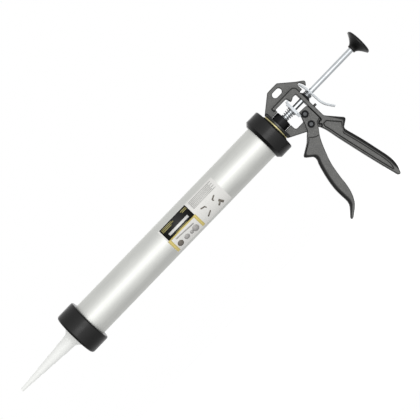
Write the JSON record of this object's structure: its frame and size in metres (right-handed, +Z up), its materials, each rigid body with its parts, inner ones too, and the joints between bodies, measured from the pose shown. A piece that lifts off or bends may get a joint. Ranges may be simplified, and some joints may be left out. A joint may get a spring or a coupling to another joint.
{
  "type": "caulking gun",
  "caption": "Closed-barrel caulking gun for foil packs, with screw ring and nozzle, squeeze handle, release lever and push rod with a pull knob.",
  "frame": {"origin": "centre of the nozzle's outlet, on the barrel axis", "axes": "+X along the barrel axis from the nozzle to the pull knob, +Z up, away from the grips, +Y across the tool"},
  "size_m": [0.678, 0.07, 0.2112],
  "materials": {
    "barrel_aluminium": "satin, drawn",
    "label_film": "printed film",
    "black_plastic": "moulded, satin",
    "yellow_zinc": "yellow passivated",
    "black_steel": "black oxide",
    "bush_plastic": "turned",
    "nozzle_plastic": "translucent, moulded",
    "grey_paint": "powder coated casting",
    "zinc_steel": "zinc plated",
    "plate_steel": "zinc plated, stamped",
    "spring_steel": "drawn wire",
    "rod_steel": "bright zinc plated",
    "seal_rubber": "moulded"
  },
  "bodies": {
    "frame": {"frame": "grey_paint", "pivot_pin": "zinc_steel", "pivot_clip": "black_steel", "return_spring": "spring_steel", "release_spring": "spring_steel"},
    "barrel": {"barrel_tube": "barrel_aluminium", "barrel_label": "label_film", "rear_cap": "black_plastic", "swivel_washer": "yellow_zinc", "neck_spigot": "black_steel", "neck_nut": "black_steel", "rod_bush": "bush_plastic"},
    "nozzle": {"nozzle": "nozzle_plastic"},
    "front_ring": {"front_ring": "black_plastic"},
    "rod": {"push_rod": "rod_steel", "pull_knob": "black_plastic", "piston": "black_plastic", "piston_seal": "seal_rubber", "piston_washers": "zinc_steel", "piston_nuts": "zinc_steel"},
    "trigger": {"trigger": "grey_paint", "drive_pin": "zinc_steel", "drive_clip": "black_steel", "drive_roller": "zinc_steel"},
    "drive": {"drive_plate_front": "plate_steel", "drive_plate_rear": "plate_steel"},
    "lever": {"release_lever": "zinc_steel"}
  },
  "joints": [
    {"name": "barrel_swivel", "type": "hinge", "parent": "frame", "child": "barrel", "pos_m": [0.5118, 0, 0], "axis": [1, 0, 0], "continuous": true},
    {"name": "nozzle_slide", "type": "slide", "parent": "barrel", "child": "nozzle", "axis": [-1, 0, 0], "range_m": [0, 0.01205]},
    {"name": "front_ring_spin", "type": "hinge", "parent": "nozzle", "child": "front_ring", "pos_m": [0.1213, 0, 0], "axis": [-1, 0, 0], "range_deg": [0, 1440]},
    {"name": "rod_slide", "type": "slide", "parent": "frame", "child": "rod", "axis": [1, 0, 0], "range_m": [-0.078, 0.273]},
    {"name": "trigger_squeeze", "type": "hinge", "parent": "frame", "child": "trigger", "pos_m": [0.5461, 0, -0.0321], "axis": [0, -1, 0], "range_deg": [0, 24], "stiffness_Nm_per_rad": 0.5, "springref_deg": -11.46},
    {"name": "drive_slide", "type": "slide", "parent": "frame", "child": "drive", "axis": [-1, 0, 0], "range_m": [0, 0.0069], "deforming": ["return_spring"]},
    {"name": "release_press", "type": "hinge", "parent": "frame", "child": "lever", "pos_m": [0.5748, 0, 0.018], "axis": [0, 1, 0], "range_deg": [0, 8], "stiffness_Nm_per_rad": 0.4, "springref_deg": -8.59, "deforming": ["release_spring"]}
  ],
  "couplings": [
    {"joint": "nozzle_slide", "follows": "front_ring_spin", "m_per_rad": 0.00047746},
    {"joint": "drive_slide", "follows": "trigger_squeeze", "m_per_rad": 0.0162}
  ]
}
